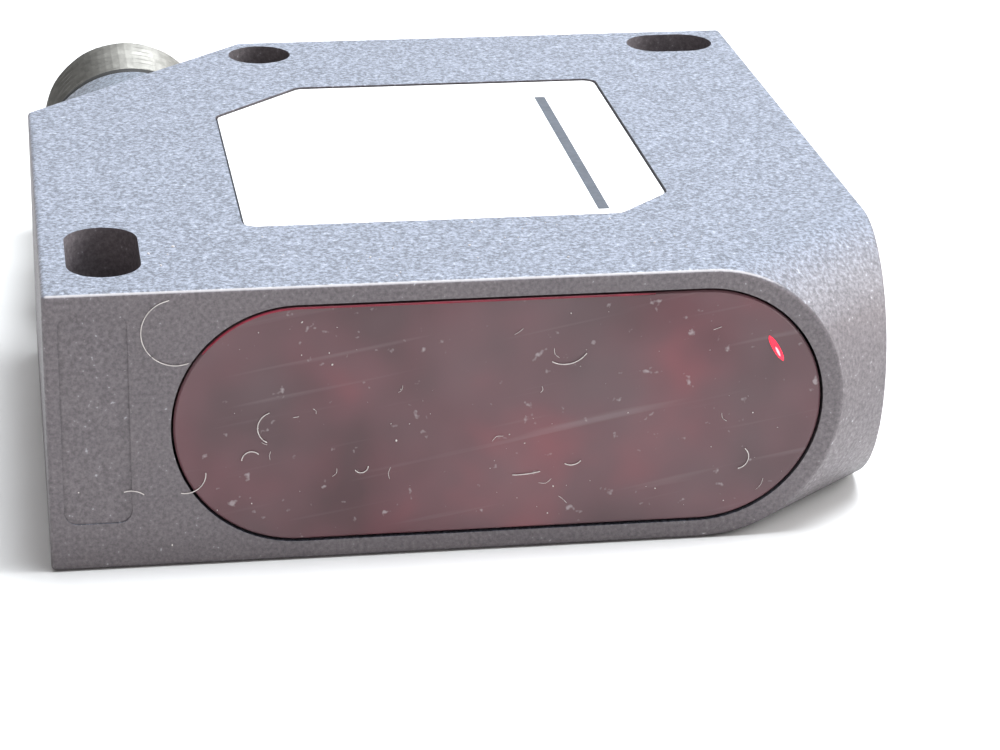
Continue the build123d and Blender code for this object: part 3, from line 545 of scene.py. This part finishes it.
def dust_specks(name, count, seed, spot, smallest, largest):
    """Many small dust flakes in one mesh; spot(random source) gives each centre."""
    source = random.Random(seed)
    mesh = bmesh.new()
    for _ in range(count):
        size = smallest + (largest - smallest) * source.random() ** 3
        stretch = (source.uniform(0.6, 1.8), source.uniform(0.5, 1.0), source.uniform(0.5, 1.2))
        turn = Matrix.Rotation(source.uniform(0, math.pi), 4, "Y")
        flake = Matrix.Diagonal((*(size * MM * factor for factor in stretch), 1))
        matrix = Matrix.Translation(spot(source)) @ turn @ flake
        bmesh.ops.create_icosphere(mesh, subdivisions=1, radius=1.0, matrix=matrix)
    return add_piece(name, mesh, dust_fibre, ROOT)


def front_spot(source):
    return on_front(source.uniform(-24.0, 18.5), source.uniform(0.8, 16.2), 0.02)


def window_spot(source):
    return on_front(source.uniform(-14.0, 17.0), source.uniform(2.0, 15.0), 0.02)


# on the upper flank the dust keeps off the oblique nose and the front slot
nose_line = 36
slot_left, slot_right = -23.9, -18.7
slot_front = -22.8


def flank_spot(source):
    while True:
        x, y = source.uniform(-24, 22), source.uniform(-24.2, -15.2)
        over_slot = slot_left < x < slot_right and y > slot_front
        if x - y < nose_line and not over_slot:
            return on_flank(x, y, 0.02)


dust_specks("dust_front", count=45, seed=11, spot=front_spot, smallest=0.015, largest=0.055)
dust_specks("dust_window", count=32, seed=5, spot=window_spot, smallest=0.015, largest=0.07)
dust_specks("dust_flank", count=70, seed=23, spot=flank_spot, smallest=0.02, largest=0.08)


def short_hairs(name, count, seed):
    """Short straight and bent hairs scattered over the window."""
    source = random.Random(seed)
    mesh = bmesh.new()
    for _ in range(count):
        x, z = source.uniform(-13.5, 17.0), source.uniform(2.2, 14.8)
        heading = source.uniform(0, 2 * math.pi)
        reach = source.uniform(0.15, 0.45)
        bend = heading + source.uniform(-0.9, 0.9)
        a = on_front(x, z)
        b = on_front(x + reach * math.cos(heading), z + reach * math.sin(heading))
        end_x = x + reach * (math.cos(heading) + math.cos(bend))
        end_z = z + reach * (math.sin(heading) + math.sin(bend))
        c = on_front(end_x, end_z)
        strand(mesh, smooth_path([a, b, c], 3), 0.015 * MM, 5)
    return add_piece(name, mesh, dust_fibre, ROOT)


short_hairs("short_hairs", count=16, seed=9)


# connector sleeve with a real helical thread in place of the smooth CAD cylinder
def threaded_sleeve():
    centre = Vector(((sleeve_low.x + sleeve_high.x) / 2, 0, (sleeve_low.z + sleeve_high.z) / 2))
    base, tip = sleeve_low.y, sleeve_high.y
    crest = (sleeve_high.x - sleeve_low.x) / 2
    pitch = 1.0 * MM
    tooth = 0.42 * MM
    collar_start = base + 3.6 * MM
    collar_end = base + 4.1 * MM
    thread_start = base + 5.5 * MM
    thread_run_out = 0.4 * MM
    bore = 3.4 * MM
    neck = 4.38 * MM
    undercut = 5.3 * MM
    cup = 4.3 * MM
    floor_y = base + 4.8 * MM
    sides = 72
    per_turn = 12

    def ring(y, radius):
        turn = [2 * math.pi * i / sides for i in range(sides)]
        return [centre + Vector((radius * math.cos(a), y, radius * math.sin(a))) for a in turn]

    def thread_ring(y):
        points = []
        for i in range(sides):
            angle = 2 * math.pi * i / sides
            phase = ((y - thread_start) / pitch - i / sides) % 1.0
            depth = tooth * abs(2 * phase - 1)
            run_in = min(1.0, (y - thread_start) / pitch, (tip - thread_run_out - y) / thread_run_out)
            radius = crest - depth * max(0.0, run_in) - tooth * (1 - max(0.0, run_in))
            points.append(centre + Vector((radius * math.cos(angle), y, radius * math.sin(angle))))
        return points

    mesh = bmesh.new()
    profile = [ring(base, bore), ring(base, neck), ring(collar_start, neck)]
    profile += [ring(collar_start, crest - 0.1 * MM), ring(collar_start + 0.1 * MM, crest)]
    profile += [ring(collar_end - 0.08 * MM, crest), ring(collar_end, crest - 0.08 * MM)]
    profile += [ring(collar_end, undercut), ring(thread_start - 0.3 * MM, undercut)]
    rows = int(round((tip - thread_run_out - thread_start) / pitch * per_turn))
    for k in range(rows + 1):
        profile.append(thread_ring(thread_start + k * pitch / per_turn))
    profile += [ring(tip - 0.1 * MM, undercut + 0.15 * MM), ring(tip, undercut), ring(tip, cup + 0.1 * MM)]
    profile += [ring(tip - 0.1 * MM, cup), ring(floor_y, cup)]
    profile += [ring(floor_y, bore), ring(base, bore)]
    lofted(mesh, profile)
    # coding key inside the cup
    key_low = Vector((centre.x - 0.5 * MM, base + 7.0 * MM, centre.z + 3.65 * MM))
    key_size = Vector((1.0 * MM, 5.6 * MM, 0.7 * MM))
    key = bmesh.ops.create_cube(mesh, size=1.0)["verts"]
    for vertex in key:
        vertex.co = key_low + Vector(((vertex.co[i] + 0.5) * key_size[i] for i in range(3)))
    bmesh.ops.recalc_face_normals(mesh, faces=mesh.faces)
    metal = materials["sleeve_nickel"]
    piece = add_piece("connector_sleeve_threaded", mesh, metal, PLUG, smooth=False)
    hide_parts("connector_sleeve")


threaded_sleeve()


# ---------------------------------------------------------------- stage
def floor_material():
    material, bsdf = shader("pale_floor")
    where = place(material)
    clouds = noise(material, where, 30.0)
    tone = ramp(material, clouds, ((0.3, (0.76, 0.76, 0.76)), (0.7, (0.80, 0.80, 0.80))))
    link(material, tone, bsdf.inputs["Base Color"])
    bsdf.inputs["Roughness"].default_value = 0.32
    return material


def make_floor():
    """Pale table that curves up into a backdrop well behind the sensor."""
    mesh = bmesh.new()
    half_width, near, far, rise = 1.2, -0.9, 0.55, 1.1
    bend = 0.35
    profile = [(near, 0.0), (far - bend, 0.0)]
    for k in range(1, 13):
        angle = math.pi / 2 * k / 12
        profile.append((far - bend + bend * math.sin(angle), bend - bend * math.cos(angle)))
    profile.append((far, rise))
    rings = [[Vector((-half_width, y, z)), Vector((half_width, y, z))] for y, z in profile]
    lofted(mesh, rings, closed_around=False)
    data = bpy.data.meshes.new("pale_table")
    mesh.to_mesh(data)
    mesh.free()
    for polygon in data.polygons:
        polygon.use_smooth = True
    table = bpy.data.objects.new("pale_table", data)
    data.materials.append(floor_material())
    bpy.context.scene.collection.objects.link(table)
    table.location.z = housing_low.z - 0.02 * MM


def area_light(name, position, aim, size, power, colour):
    data = bpy.data.lights.new(name, "AREA")
    data.shape = "RECTANGLE"
    data.size, data.size_y = size
    data.energy = power
    data.color = colour
    lamp = bpy.data.objects.new(name, data)
    lamp.location = position
    lamp.rotation_euler = (Vector(aim) - Vector(position)).to_track_quat("-Z", "Y").to_euler()
    bpy.context.scene.collection.objects.link(lamp)


make_floor()
area_light("sky_panel", (0.12, 0.02, 0.48), (0.0, 0.0, 0.0), (0.25, 0.25), 4.9, (0.93, 0.97, 1.0))
area_light("front_fill", (-0.25, -0.55, 0.25), (0.0, 0.0, 0.01), (0.4, 0.3), 0.55, (1.0, 0.88, 0.87))
area_light("head_side", (0.45, 0.0, 0.22), (0.02, -0.01, 0.01), (0.25, 0.3), 2.2, (1.0, 0.99, 0.98))

world = bpy.data.worlds.new("studio")
world.use_nodes = True
world.node_tree.nodes["Background"].inputs["Color"].default_value = (1.0, 1.0, 1.0, 1)
world.node_tree.nodes["Background"].inputs["Strength"].default_value = 0.36
bpy.context.scene.world = world
bpy.context.scene.view_settings.view_transform = "Standard"

# camera close above the front edge, to the foot side
camera_data = bpy.data.cameras.new("camera")
camera_data.sensor_width = 36.0
camera_data.lens = 113.93
camera_data.clip_start = 0.01
camera = bpy.data.objects.new("camera", camera_data)
bpy.context.scene.collection.objects.link(camera)
camera_place = Vector((-26.6, -192.14, 79.07)) * MM
yaw = math.radians(9.39)
pitch = math.radians(21.88)
roll = math.radians(0.95)
facing = Vector((math.sin(yaw) * math.cos(pitch), math.cos(yaw) * math.cos(pitch), -math.sin(pitch)))
rotation = facing.to_track_quat("-Z", "Y").to_matrix().to_4x4() @ Matrix.Rotation(roll, 4, "Z")
camera.matrix_world = Matrix.Translation(camera_place) @ rotation
bpy.context.scene.camera = camera
